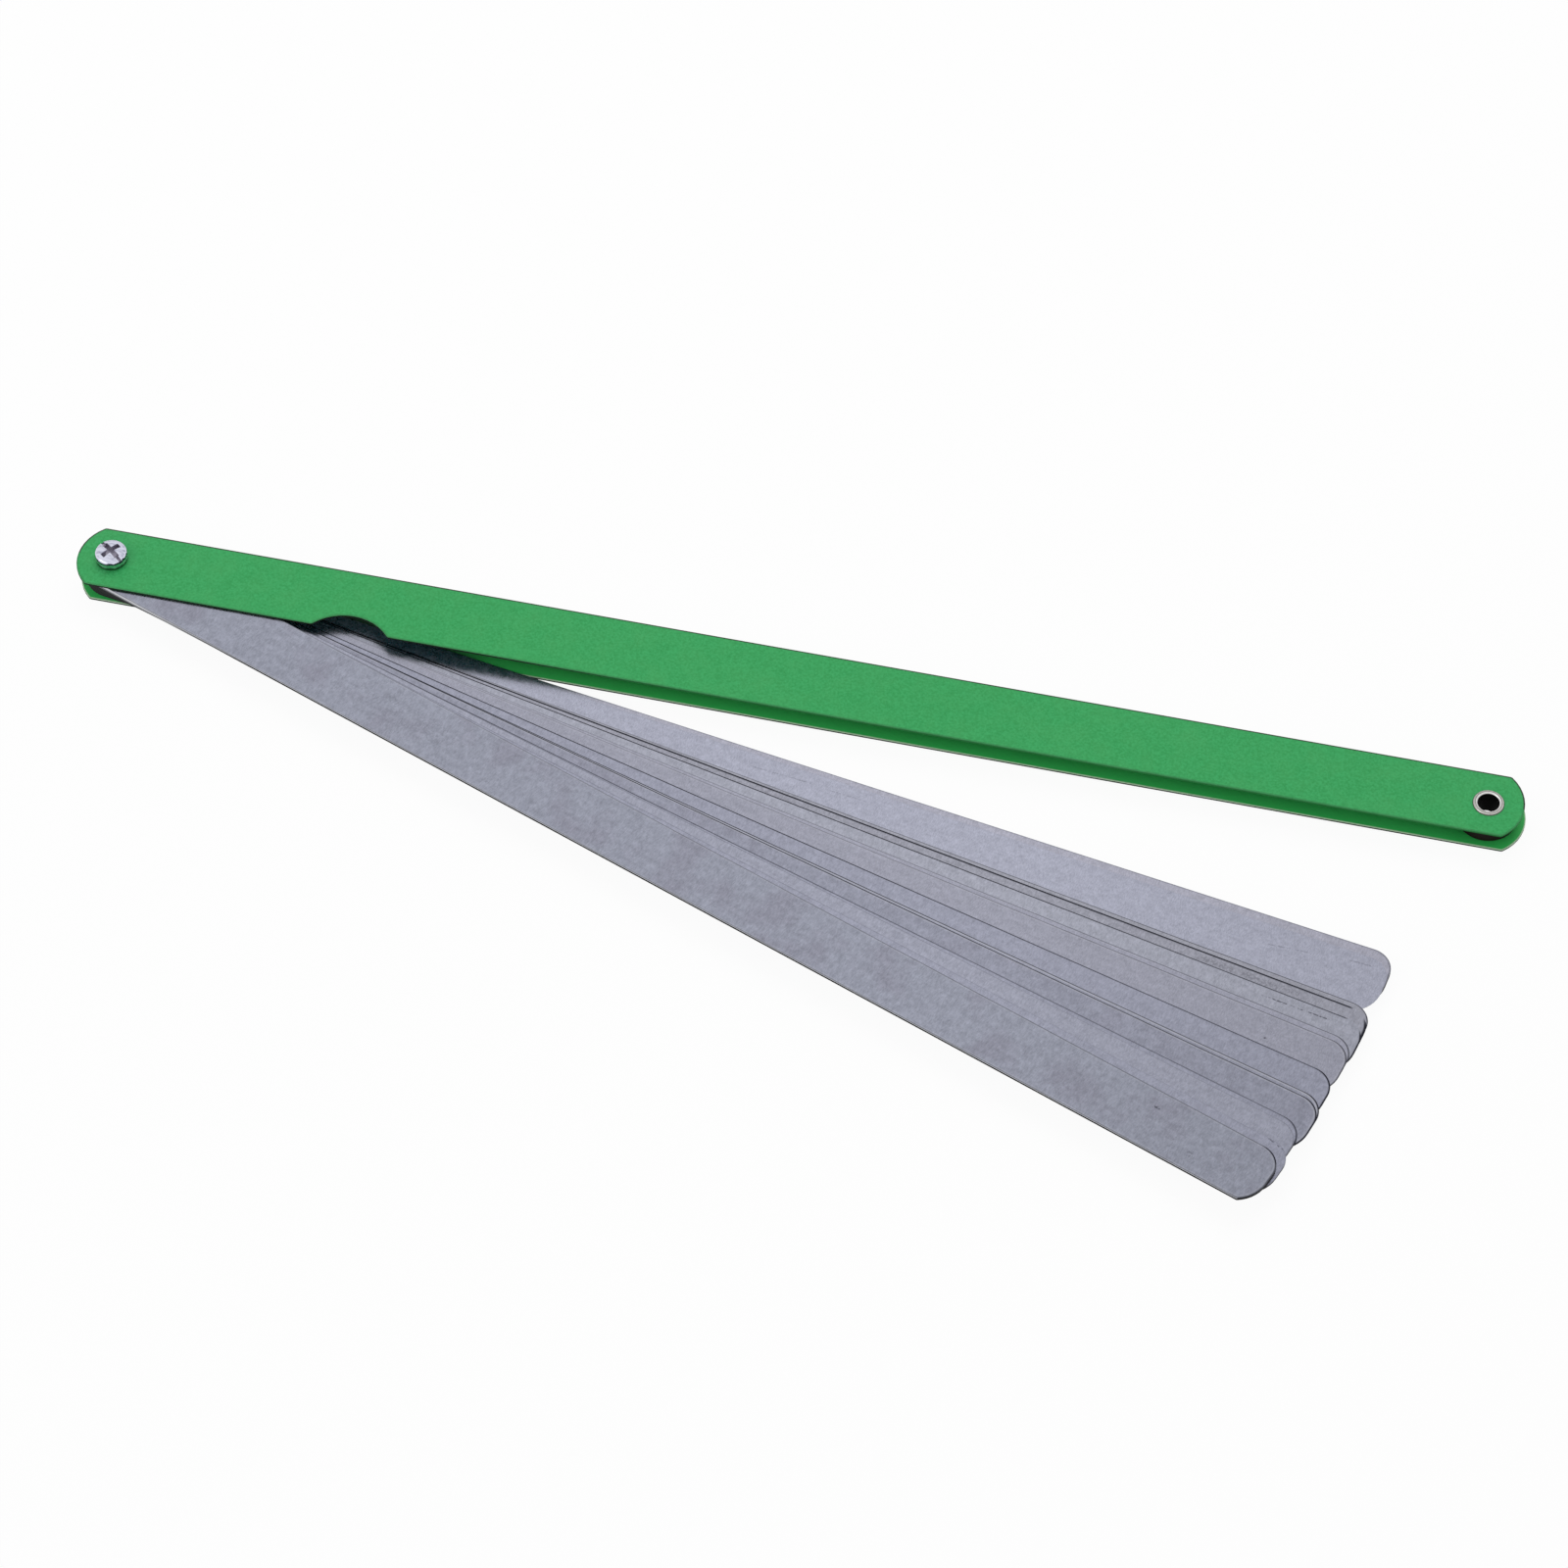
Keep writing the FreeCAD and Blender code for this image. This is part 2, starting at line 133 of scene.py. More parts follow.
# Light: an even white room, one large soft box above and behind, one weak one by the camera
room = {"strength": 0.50, "seenStrength": 1.0, "colour": "#FFFFFF"}
softBoxes = {
    "rearBox": {"from": (0.05, 0.75, 1.15), "size": (1.4, 0.9), "power": 7.7, "inGloss": False},
    "frontBox": {"from": (-0.75, -0.65, 1.0), "size": (0.9, 0.7), "power": 3.3, "inGloss": True},
}
boxAim = (0.155, -0.03, 0)   # both face the middle of the gauge


def whiteForRays(tree):
    # 1 for rays that show the background: to the camera, and in metal and glass
    path = tree.nodes.new("ShaderNodeLightPath").outputs
    seen = addNode(tree, "Math", {0: path["Is Camera Ray"], 1: path["Is Glossy Ray"]}, operation="MAXIMUM")
    return addNode(tree, "Math", {0: seen, 1: path["Is Transmission Ray"]}, operation="MAXIMUM")


def makeRoom():
    world = bpy.data.worlds.new("room")
    bpy.context.scene.world = world
    world.use_nodes = True
    tree = world.node_tree
    strength = addNode(tree, "MapRange", {"Value": whiteForRays(tree), "To Min": room["strength"],
                                          "To Max": room["seenStrength"]})
    feed(tree.nodes["Background"], {"Color": linear(room["colour"]), "Strength": strength})


def makeLights():
    for name, box in softBoxes.items():
        lamp = bpy.data.lights.new(name, "AREA")
        lamp.shape = "RECTANGLE"
        lamp.size, lamp.size_y = box["size"]
        lamp.energy = box["power"]
        light = bpy.data.objects.new(name, lamp)
        bpy.context.scene.collection.objects.link(light)
        light.location = box["from"]
        light.visible_glossy = box["inGloss"]
        light.rotation_mode = "QUATERNION"
        light.rotation_quaternion = (Vector(boxAim) - Vector(box["from"])).to_track_quat("-Z", "Y")


# Floor: a matt white paper sweep. To the camera it is nearly all plain white, so that only the
# soft shadow close to the gauge shows
floorSheet = {"halfSize": 4.0, "drop": 0.05 * mm, "colour": "#F7F7F7", "roughness": 0.9, "plainWhite": 0.94}


def makeFloor():
    half, low = floorSheet["halfSize"], -floorSheet["drop"]
    mesh = bpy.data.meshes.new("floor")
    mesh.from_pydata([(-half, -half, low), (half, -half, low), (half, half, low), (-half, half, low)], [],
                     [(0, 1, 2, 3)])
    floor = bpy.data.objects.new("floor", mesh)
    bpy.context.scene.collection.objects.link(floor)
    material, tree, shader = startMaterial("whitePaperSweep")[:3]
    feed(shader, {"Base Color": linear(floorSheet["colour"]), "Roughness": floorSheet["roughness"],
                  "Specular IOR Level": 0.0})
    white = addNode(tree, "Emission", {"Color": (1, 1, 1, 1), "Strength": 1.0})
    share = addNode(tree, "MapRange", {"Value": whiteForRays(tree), "To Max": floorSheet["plainWhite"]})
    mixed = addNode(tree, "MixShader", {0: share, 1: shader.outputs[0], 2: white})
    feed(tree.nodes["Material Output"], {"Surface": mixed})
    mesh.materials.append(material)


makeRoom()
makeLights()
makeFloor()
bpy.context.scene.view_settings.view_transform = "Standard"
print("room, lights and floor made")


# Covers: stove enamel sprayed on stamped sheet steel, satin, with a very fine spray texture
# that shows as a faint grain. A line is drawn along the rim: a dark brownish one on the top
# cover, and a painted highlight on the bottom one. The sheared sides are black with painted
# shade, save the top cover's near side further along. The bottom cover's inner face is a
# brighter green of painted light, with painted shade beside the notch, and the top cover's
# inner face is a blue-teal painted shade colour that tints its dark reflection in the leaves
coverShape = {
    "halfWidth": 8 * mm,
    "pivotEnd": {"centre": (2.6 * mm, 0, 0), "radius": 10.2 * mm, "low": (-1, -1, 0), "high": (0, 1, 0)},
    "eyeletEnd": {"centre": (300.5 * mm, 0, 0), "radius": 10.2 * mm, "low": (0, -1, 0), "high": (1, 1, 0)},
    "notch": {"centre": (56 * mm, -15 * mm, 0), "radius": 11 * mm, "low": (-1, -1, 0), "high": (1, 1, 0)},
}
enamel = {
    "colour": "#32A95E",
    "deep": "#1C9449",                 # paint between the droplets
    "thin": "#4BA75E",                 # thinner, warmer paint in soft clouds
    "roughness": 0.48, "sideRoughness": 1.0,
    "grain": 0.5 * mm, "grainSpan": (0.3, 0.7), "grainHeight": 0.006 * mm, "bump": 0.4,
    "cloud": 5 * mm, "cloudSpan": (0.4, 0.75), "cloudShare": 0.2,
    # painted shade on the bottom cover's inner face beside the notch, where the top cover shades it
    "notchShadeColour": "#0A201B",
    "notchShadeOver": (30 * mm, 16 * mm),  # from the notch's middle, along the cover
    "sideFurtherOver": (95 * mm, 120 * mm),   # the near side's colour changes here: painted shade from the pivot, the colour further on beyond
    "rimFade": (1.2, 0.8),             # times the width of the line on the rim
    "faceOver": (0.8, 0.9),            # of facing up or down: the inner face
    "sideOver": (0.5, 0.3),            # of facing up or down: the sheared side
}
coverLooks = {
    # how far along +X its outline lies, the colour of the rim line (a painted highlight on the
    # bottom cover) and how strong it is at the far and the near edge, the side's painted shade and
    # the colour of the near side further on, the inner face's colour (painted light on the bottom
    # cover, a painted shade colour on the top one), which way it faces, and how much painted shade
    # lies on it by the notch. The rim is drawn wider than the real 0.1 mm, so that it shows
    "top_cover": {"along": 0, "rim": "#16280F", "rimLine": 0.38 * mm, "farRim": 0.95, "nearRim": 0.3,
                  "side": "#07160A", "sideFurtherOn": "#1F7838", "inner": "#3A8582", "innerFacing": -1,
                  "notchShade": 0.0},
    "bottom_cover": {"along": 0.65 * mm, "rim": "#C6E6C0", "rimLine": 0.26 * mm, "farRim": 0.9,
                     "nearRim": 0.9, "side": "#050B06", "sideFurtherOn": "#050B06", "inner": "#38C45C",
                     "innerFacing": 1, "notchShade": 0.9},
}


def coverDepth(tree, own, y):
    # how far in from the outline of the cover
    across = addNode(tree, "Math", {0: y}, operation="ABSOLUTE")
    depth = addNode(tree, "Math", {0: coverShape["halfWidth"], 1: across}, operation="SUBTRACT")
    notch = addNode(tree, "Math", {0: depthIn(tree, own, coverShape["notch"]), 1: -1.0}, operation="MULTIPLY")
    ends = [depthIn(tree, own, coverShape[end]) for end in ("pivotEnd", "eyeletEnd")]
    for limit in (notch, *ends):
        depth = addNode(tree, "Math", {0: depth, 1: limit}, operation="MINIMUM")
    return depth


def sprayedPaint(tree, place, droplets):
    # the green of the paint with its droplets and clouds
    clouds = addNode(tree, "TexNoise", {"Vector": place, "Scale": 1 / enamel["cloud"], "Detail": 3.0})
    deep = addNode(tree, "MapRange", {"Value": droplets, **over(*enamel["grainSpan"])})
    body = addNode(tree, "Mix", {"Factor": deep, "A": linear(enamel["colour"]), "B": linear(enamel["deep"])},
                   data_type="RGBA")
    thin = addNode(tree, "MapRange", {"Value": clouds, **over(*enamel["cloudSpan"]),
                                      "To Max": enamel["cloudShare"]})
    return addNode(tree, "Mix", {"Factor": thin, "A": body, "B": linear(enamel["thin"])}, data_type="RGBA")


def notchShadeAt(tree, x, inner, most):
    # how much painted shade lies on the inner face beside the notch
    away = addNode(tree, "Math", {0: x, 1: coverShape["notch"]["centre"][0]}, operation="SUBTRACT")
    away = addNode(tree, "Math", {0: away}, operation="ABSOLUTE")
    notchShade = addNode(tree, "MapRange", {"Value": away, **over(*enamel["notchShadeOver"]), "To Max": most})
    return addNode(tree, "Math", {0: notchShade, 1: inner}, operation="MULTIPLY")


def makeEnamel(name, look):
    material, tree, shader, place = startMaterial("satinGreenStoveEnamel_" + name)
    own = addNode(tree, "Mapping", {"Vector": place, "Location": (-look["along"], 0, 0)})
    x, y = addNode(tree, "SeparateXYZ", {0: own}).node.outputs[:2]
    upward = facingUp(tree)
    droplets = addNode(tree, "TexNoise", {"Vector": place, "Scale": 1 / enamel["grain"], "Detail": 2.0})
    body = sprayedPaint(tree, place, droplets)

    # the inner face's colour: a brighter green of painted light on the bottom cover, and a blue-teal painted
    # shade colour on the top one, which tints its dark reflection in the leaves
    faceOver = [edge * look["innerFacing"] for edge in enamel["faceOver"]]
    inner = addNode(tree, "MapRange", {"Value": upward, **over(*faceOver)})
    body = addNode(tree, "Mix", {"Factor": inner, "A": body, "B": linear(look["inner"])}, data_type="RGBA")
    # painted shade on the bottom cover's inner face beside the notch
    notchShade = notchShadeAt(tree, x, inner, look["notchShade"])
    body = addNode(tree, "Mix", {"Factor": notchShade, "A": body, "B": linear(enamel["notchShadeColour"])},
                   data_type="RGBA")

    # the rim line: a painted highlight on the bottom cover, a dark brownish line on the top one
    near = addNode(tree, "Math", {0: y, 1: 0.0}, operation="LESS_THAN")
    share = addNode(tree, "MapRange", {"Value": near, "To Min": look["farRim"], "To Max": look["nearRim"]})
    rimOver = [factor * look["rimLine"] for factor in enamel["rimFade"]]
    rim = addNode(tree, "MapRange", {"Value": coverDepth(tree, own, y), **over(*rimOver), "To Max": share})
    body = addNode(tree, "Mix", {"Factor": rim, "A": body, "B": linear(look["rim"])}, data_type="RGBA")

    # the sheared side takes painted shade; only the top cover's near side further on shows green
    furtherOn = addNode(tree, "MapRange", {"Value": x, **over(*enamel["sideFurtherOver"])})
    furtherOn = addNode(tree, "Math", {0: furtherOn, 1: near}, operation="MULTIPLY")
    sideColour = addNode(tree, "Mix", {"Factor": furtherOn, "A": linear(look["side"]),
                                       "B": linear(look["sideFurtherOn"])}, data_type="RGBA")
    level = addNode(tree, "Math", {0: upward}, operation="ABSOLUTE")
    side = addNode(tree, "MapRange", {"Value": level, **over(*enamel["sideOver"])})
    body = addNode(tree, "Mix", {"Factor": side, "A": body, "B": sideColour}, data_type="RGBA")
    rough = addNode(tree, "MapRange", {"Value": side, "To Min": enamel["roughness"],
                                       "To Max": enamel["sideRoughness"]})
    bump = addNode(tree, "Bump", {"Height": droplets, "Strength": enamel["bump"],
                                  "Distance": enamel["grainHeight"]})
    feed(shader, {"Base Color": body, "Roughness": rough, "Normal": bump})
    give(material, name)


for name, look in coverLooks.items():
    makeEnamel(name, look)
print("covers painted:", len(coverLooks))


# Leaves: hardened and ground spring steel strip. Grinding leaves a fine grain across the strip,
# handling and old oil leave a mottle and soft stains, and painted shade darkens the face towards
# the tips. The sheared sides are black with painted shade, with painted highlights near the pivot
# and along the top of the near side, and the deburred corner between side and face is drawn as a
# line of painted shade with a painted highlight just inside it
leafShape = {
    "near": -6.9 * mm,   # the straight near side
    "tip": {"centre": (284.9 * mm, -0.7 * mm, 0), "radius": 7.6 * mm, "low": (0, -1, 0), "high": (1, 0, 0)},
    "farCorner": {"centre": (287.6 * mm, 2.0 * mm, 0), "radius": 4.9 * mm, "low": (0, 0, 0),
                  "high": (1, 1, 0)},
}
leafSteel = {
    "roughness": 0.27, "roughnessDrift": 0.05, "roughnessSpan": (0.3, 0.7),
    "apart": (0.37, 0.11),             # from one leaf's patterns to the next leaf's
    "noiseSpan": (0.2, 0.8),
    "grain": 0.42 * mm,                # drawn coarser than the real 0.02 mm, so that it shows
    "grainStretch": (1.6, 0.55, 1), "grainShade": 0.20, "grainHeight": 0.01 * mm, "bump": 0.15,
    "mottle": 1.6 * mm, "mottleShade": 0.15,
    "stain": 9 * mm, "stainShade": 0.05, "stainSpan": (0.48, 0.66), "stainShare": 0.45,
    "streak": 0.35 * mm,               # across a handling mark, which runs along the strip
    "streakStretch": (0.02, 1, 1), "streakShade": 0.05,
    # painted shade: the face darker towards the tip
    "tipShadeOver": (215 * mm, 285 * mm), "tipShade": 0.87,
    "stainColour": "#7F7C8A",
}
leafMarks = {
    "colour": "#3B3A44",
    "speck": 0.5 * mm, "speckSpan": (0.42, 0.55),
    "core": 0.4,                       # of its width, full strength
    "fade": 0.3,                       # mm beyond its ends
}
leafEdge = {
    # the painted shade line and the painted highlight line along the edge start thin and strong near
    # the pivot, grow wider and softer, and are darkest round the tip; y is across the leaf and x is along it
    "dark": "#26272F", "darkFade": (1.2, 0.5),           # times the width of the line
    "bright": "#F2F2F6", "brightFade": (1.0, 0.8),
    "widerOver": (50 * mm, 230 * mm), "thin": 0.8,
    "softerOver": (80 * mm, 250 * mm),
    "tipOver": (287 * mm, 290 * mm), "tip": 1.4,
    "cornerAcross": (0.5 * mm, 2.5 * mm),
    "cornerBegins": (287.4 * mm, 288.2 * mm), "cornerEnds": (292 * mm, 291 * mm),
}
leafSide = {
    # painted shade on the sheared sides
    "sideShade": "#08080A",
    "sideHighlightColour": "#D9DAE0",             # painted highlight, near the pivot and along the top of the near side
    "sideOver": (0.7, 0.5),            # of facing up or down
    "sideHighlightOver": (40 * mm, 12 * mm),
    "nearOver": (0.1 * mm, 0.05 * mm), "soft": 0.04, "bright": 0.8,
}
usualLook = {
    "swing": 0, "further": 0,          # degrees, and how many mm it reaches beyond the shape above
    "colour": "#9C9EAD", "mottle": 0.8, "stain": 0.2,
    "line": 0.6, "lineWidth": 0.28,    # painted shade line along the edge
    "lineRound": 1.0, "lineNear": 1.5,                   # times as strong round the corner, near the pivot
    "shine": 0.0, "shineWidth": 0.3,   # painted highlight line inside it
    "sideHighlightShare": 0.02,                    # how much painted highlight the side takes near the pivot
    "sideHighlightFrom": 9,                   # height in mm that the near side takes painted highlight from
    "marks": (),                       # scratches and pits: from x, y to x, y in mm, width, strength
}
leafLooks = {
    "leaf_1_00mm": {"swing": 9.35, "further": 0.50, "colour": "#ACACBA", "line": 0.35, "lineNear": 1.0},
    "leaf_0_05mm": {"swing": 9.80, "further": 0.35, "colour": "#AAACBC", "line": 0.04, "marks": (
        (267, 1.9, 275, 3.0, 0.25, 0.3), (284, 4.5, 289, 4.8, 0.25, 0.35),
        (150, 3.6, 163, 4.2, 0.2, 0.3), (168, 4.0, 176, 4.2, 0.2, 0.3))},
    "leaf_0_06mm": {"swing": 12.25, "further": 0.60, "colour": "#9FA0AB", "line": 0.7, "lineWidth": 0.22,
                    "lineRound": 0.7, "lineNear": 0.6},
    "leaf_0_07mm": {"swing": 12.50, "further": 0.70, "colour": "#A0A1AD", "mottle": 1.2, "stain": 0.4,
                    "line": 1.0, "lineWidth": 0.42, "lineRound": 0.0, "marks": (
        # the first mark is a wide, faint darker band along the strip near the far edge, ending before the tip
        (120, 5.3, 281, 5.3, 3.2, 0.12), (255, 5.2, 262, 5.0, 0.8, 0.2),
        (264, 5.3, 272, 4.8, 0.9, 0.22), (273, 5.4, 277, 5.2, 0.6, 0.18))},
    "leaf_0_08mm": {"swing": 13.10, "further": 0.70, "colour": "#A4A6B3", "mottle": 1.0, "line": 0.85,
                    "lineRound": 0.0, "marks": ((270, 4.6, 284.5, 4.9, 0.2, 0.8),)},
    "leaf_0_09mm": {"swing": 14.10, "further": 0.20, "colour": "#A0A1B0", "lineWidth": 0.22,
                    "lineNear": 0.6, "shine": 0.04},
    "leaf_0_10mm": {"swing": 14.40, "further": 0.20, "colour": "#9E9FAD", "lineWidth": 0.22,
                    "lineNear": 0.6, "shine": 0.06, "marks": ((275.1, 1.0, 275.3, 1.1, 0.3, 0.9),)},
    "leaf_0_15mm": {"swing": 16.00, "further": 0.15, "colour": "#9B9DAD", "line": 0.8},
    "leaf_0_20mm": {"swing": 17.30, "further": 0.75, "colour": "#9799A8", "line": 0.8, "lineWidth": 0.25,
                    "shine": 0.16},
    "leaf_0_25mm": {"swing": 17.55, "further": 0.80, "colour": "#9597A6", "mottle": 1.1, "stain": 0.5,
                    "line": 0.85, "lineWidth": 0.25, "shine": 0.1},
    "leaf_0_30mm": {"swing": 18.85, "further": -0.30, "colour": "#9A9CAC"},
    "leaf_0_40mm": {"swing": 19.15, "further": -0.30, "colour": "#9EA0AF", "line": 0.2, "lineWidth": 0.2,
                    "lineNear": 2.5},
    "leaf_0_50mm": {"swing": 20.20, "further": 0.75, "colour": "#9C9EAE", "line": 0.12, "lineWidth": 0.22,
                    "lineNear": 3.0, "sideHighlightShare": 0.3, "marks": ((286.5, 6.7, 290.2, 5.9, 0.25, 0.6),)},
    "leaf_0_75mm": {"swing": 20.75, "further": 0.05, "colour": "#979AA8", "mottle": 1.0, "stain": 0.9,
                    "line": 0.55, "lineWidth": 0.24, "lineRound": 1.7, "lineNear": 0.8, "shine": 0.06,
                    "sideHighlightShare": 0.8, "sideHighlightFrom": 5.88, "marks": (
        (264.1, 2.8, 265.3, 3.1, 0.4, 1.0), (275.6, -3.0, 276.3, -3.0, 0.9, 0.35),
        (68, 0.3, 90, 0.3, 4.0, 0.1))},
}


def markOn(tree, x, y, own, mark):
    # a broken scratch or a row of pits: its strength on it and 0 off it
    fromX, fromY, toX, toY, width, strength = mark
    fade = leafMarks["fade"]
    middle = addNode(tree, "MapRange", {"Value": x, **over(fromX * mm, toX * mm),
                                        "To Min": fromY * mm, "To Max": toY * mm})
    off = addNode(tree, "Math", {0: y, 1: middle}, operation="SUBTRACT")
    off = addNode(tree, "Math", {0: off}, operation="ABSOLUTE")
    amount = addNode(tree, "MapRange", {"Value": off, **over(width * mm, leafMarks["core"] * width * mm),
                                        "To Max": strength})
    begun = addNode(tree, "MapRange", {"Value": x, **over((fromX - fade) * mm, fromX * mm)})
    ended = addNode(tree, "MapRange", {"Value": x, **over((toX + fade) * mm, toX * mm)})
    specks = addNode(tree, "TexNoise", {"Vector": own, "Scale": 1 / leafMarks["speck"], "Detail": 1.0})
    specks = addNode(tree, "MapRange", {"Value": specks, **over(*leafMarks["speckSpan"])})
    for factor in (begun, ended, specks):
        amount = addNode(tree, "Math", {0: amount, 1: factor}, operation="MULTIPLY")
    return amount


def groundFace(tree, x, y, own, look):
    # gives the colour of the face, its grain and its mottle
    crossed = addNode(tree, "Mapping", {"Vector": own, "Scale": leafSteel["grainStretch"]})
    drawn = addNode(tree, "Mapping", {"Vector": own, "Scale": leafSteel["streakStretch"]})
    grain = addNode(tree, "TexNoise", {"Vector": crossed, "Scale": 1 / leafSteel["grain"], "Detail": 2.0})
    mottle = addNode(tree, "TexNoise", {"Vector": own, "Scale": 1 / leafSteel["mottle"], "Detail": 4.0})
    stain = addNode(tree, "TexNoise", {"Vector": own, "Scale": 1 / leafSteel["stain"], "Detail": 5.0})
    streak = addNode(tree, "TexNoise", {"Vector": drawn, "Scale": 1 / leafSteel["streak"], "Detail": 3.0})

    stained = addNode(tree, "MapRange", {"Value": stain, **over(*leafSteel["stainSpan"]),
                                         "To Max": leafSteel["stainShare"] * look["stain"]})
    body = addNode(tree, "Mix", {"Factor": stained, "A": linear(look["colour"]),
                                 "B": linear(leafSteel["stainColour"])}, data_type="RGBA")
    # painted shade, darker towards the tip, times the patterns below
    shade = addNode(tree, "MapRange", {"Value": x, **over(*leafSteel["tipShadeOver"]), "To Min": 1.0,
                                       "To Max": leafSteel["tipShade"]})
    patterns = (
        (stain, leafSteel["stainShade"]),
        (mottle, leafSteel["mottleShade"] * look["mottle"]),
        (grain, leafSteel["grainShade"]),
        (streak, leafSteel["streakShade"]),
    )
    for pattern, drift in patterns:
        pattern = addNode(tree, "MapRange", {"Value": pattern, **over(*leafSteel["noiseSpan"]),
                                             "To Min": 1 - drift, "To Max": 1 + drift})
        shade = addNode(tree, "Math", {0: shade, 1: pattern}, operation="MULTIPLY")
    body = addNode(tree, "HueSaturation", {"Color": body, "Value": shade})
    for mark in look["marks"]:
        body = addNode(tree, "Mix", {"Factor": markOn(tree, x, y, own, mark), "A": body,
                                     "B": linear(leafMarks["colour"])}, data_type="RGBA")
    return body, grain, mottle


def edgeLines(tree, x, y, inside, body, look):
    # gives the face's colour with the painted highlight line and the painted shade line drawn on it
    wider = addNode(tree, "MapRange", {"Value": x, **over(*leafEdge["widerOver"]),
                                       "To Min": leafEdge["thin"]})
    strength = addNode(tree, "MapRange", {"Value": x, **over(*leafEdge["softerOver"]),
                                          "To Min": look["lineNear"], "To Max": 1.0})
    atTip = addNode(tree, "MapRange", {"Value": x, **over(*leafEdge["tipOver"]), "To Min": 1.0,
                                       "To Max": leafEdge["tip"]})
    wider = addNode(tree, "Math", {0: wider, 1: atTip}, operation="MULTIPLY")
    strength = addNode(tree, "Math", {0: strength, 1: atTip}, operation="MULTIPLY")
    depth = addNode(tree, "Math", {0: inside, 1: wider}, operation="DIVIDE")

    darkWidth = look["lineWidth"] * mm
    brightWidth = darkWidth + look["shineWidth"] * mm
    brightOver = [factor * brightWidth for factor in leafEdge["brightFade"]]
    bright = addNode(tree, "MapRange", {"Value": depth, **over(*brightOver), "To Max": look["shine"]})
    body = addNode(tree, "Mix", {"Factor": bright, "A": body, "B": linear(leafEdge["bright"])},
                   data_type="RGBA")

    corner = addNode(tree, "MapRange", {"Value": y, **over(*leafEdge["cornerAcross"])})
    for stretch in ("cornerBegins", "cornerEnds"):
        part = addNode(tree, "MapRange", {"Value": x, **over(*leafEdge[stretch])})
        corner = addNode(tree, "Math", {0: corner, 1: part}, operation="MULTIPLY")
    corner = addNode(tree, "MapRange", {"Value": corner, "To Min": 1.0, "To Max": look["lineRound"]})
    strength = addNode(tree, "Math", {0: strength, 1: corner}, operation="MULTIPLY")
    darkOver = [factor * darkWidth for factor in leafEdge["darkFade"]]
    dark = addNode(tree, "MapRange", {"Value": depth, **over(*darkOver), "To Max": look["line"]})
    dark = addNode(tree, "Math", {0: dark, 1: strength}, operation="MULTIPLY", use_clamp=True)
    return addNode(tree, "Mix", {"Factor": dark, "A": body, "B": linear(leafEdge["dark"])}, data_type="RGBA")


def sideHighlightOn(tree, x, z, nearSide, look):
    # how much painted highlight the side takes: all round near the pivot, and the near side from a height on
    sideHighlit = addNode(tree, "MapRange", {"Value": x, **over(*leafSide["sideHighlightOver"]),
                                        "To Max": look["sideHighlightShare"]})
    near = addNode(tree, "MapRange", {"Value": nearSide, **over(*leafSide["nearOver"])})
    heights = ((look["sideHighlightFrom"] - leafSide["soft"]) * mm, (look["sideHighlightFrom"] + leafSide["soft"]) * mm)
    above = addNode(tree, "MapRange", {"Value": z, **over(*heights), "To Max": leafSide["bright"]})
    above = addNode(tree, "Math", {0: above, 1: near}, operation="MULTIPLY")
    return addNode(tree, "Math", {0: sideHighlit, 1: above}, operation="MAXIMUM")


def makeLeafSteel(name, number, look):
    material, tree, shader, place = startMaterial("groundSpringSteel_" + name.replace("leaf_", ""))
    along = addNode(tree, "Mapping", {"Vector": place, "Rotation": (0, 0, math.radians(look["swing"])),
                                      "Location": (-look["further"] * mm, 0, 0)})
    x, y, z = addNode(tree, "SeparateXYZ", {0: along}).node.outputs
    nearSide = addNode(tree, "Math", {0: y, 1: leafShape["near"]}, operation="SUBTRACT")
    inside = addNode(tree, "Math", {0: depthIn(tree, along, leafShape["tip"]),
                                    1: depthIn(tree, along, leafShape["farCorner"])}, operation="MINIMUM")
    inside = addNode(tree, "Math", {0: inside, 1: nearSide}, operation="MINIMUM")

    # every leaf has marks of its own, so its patterns start at another place
    start = [step * number for step in leafSteel["apart"]]
    own = addNode(tree, "Mapping", {"Vector": along, "Location": (*start, 0)})
    body, grain, mottle = groundFace(tree, x, y, own, look)
    body = edgeLines(tree, x, y, inside, body, look)

    # the sheared side: painted shade, with painted highlights near the pivot and along the top of the near
    # side
    level = addNode(tree, "Math", {0: facingUp(tree)}, operation="ABSOLUTE")
    side = addNode(tree, "MapRange", {"Value": level, **over(*leafSide["sideOver"])})
    sideHighlit = sideHighlightOn(tree, x, z, nearSide, look)
    sideColour = addNode(tree, "Mix", {"Factor": sideHighlit, "A": linear(leafSide["sideShade"]),
                                       "B": linear(leafSide["sideHighlightColour"])}, data_type="RGBA")
    body = addNode(tree, "Mix", {"Factor": side, "A": body, "B": sideColour}, data_type="RGBA")

    # where the side takes painted shade it is made non-metal, and matt
    sideShade = addNode(tree, "Math", {0: 1.0, 1: sideHighlit}, operation="SUBTRACT")
    sideShade = addNode(tree, "Math", {0: sideShade, 1: side}, operation="MULTIPLY")
    metal = addNode(tree, "Math", {0: 1.0, 1: sideShade}, operation="SUBTRACT")
    rough, drift = leafSteel["roughness"], leafSteel["roughnessDrift"]
    rough = addNode(tree, "MapRange", {"Value": mottle, **over(*leafSteel["roughnessSpan"]),
                                       "To Min": rough - drift, "To Max": rough + drift})
    rough = addNode(tree, "Math", {0: rough, 1: sideShade}, operation="ADD", use_clamp=True)
    bump = addNode(tree, "Bump", {"Height": grain, "Strength": leafSteel["bump"],
                                  "Distance": leafSteel["grainHeight"]})
    feed(shader, {"Base Color": body, "Metallic": metal, "Roughness": rough, "Normal": bump})
    give(material, name)


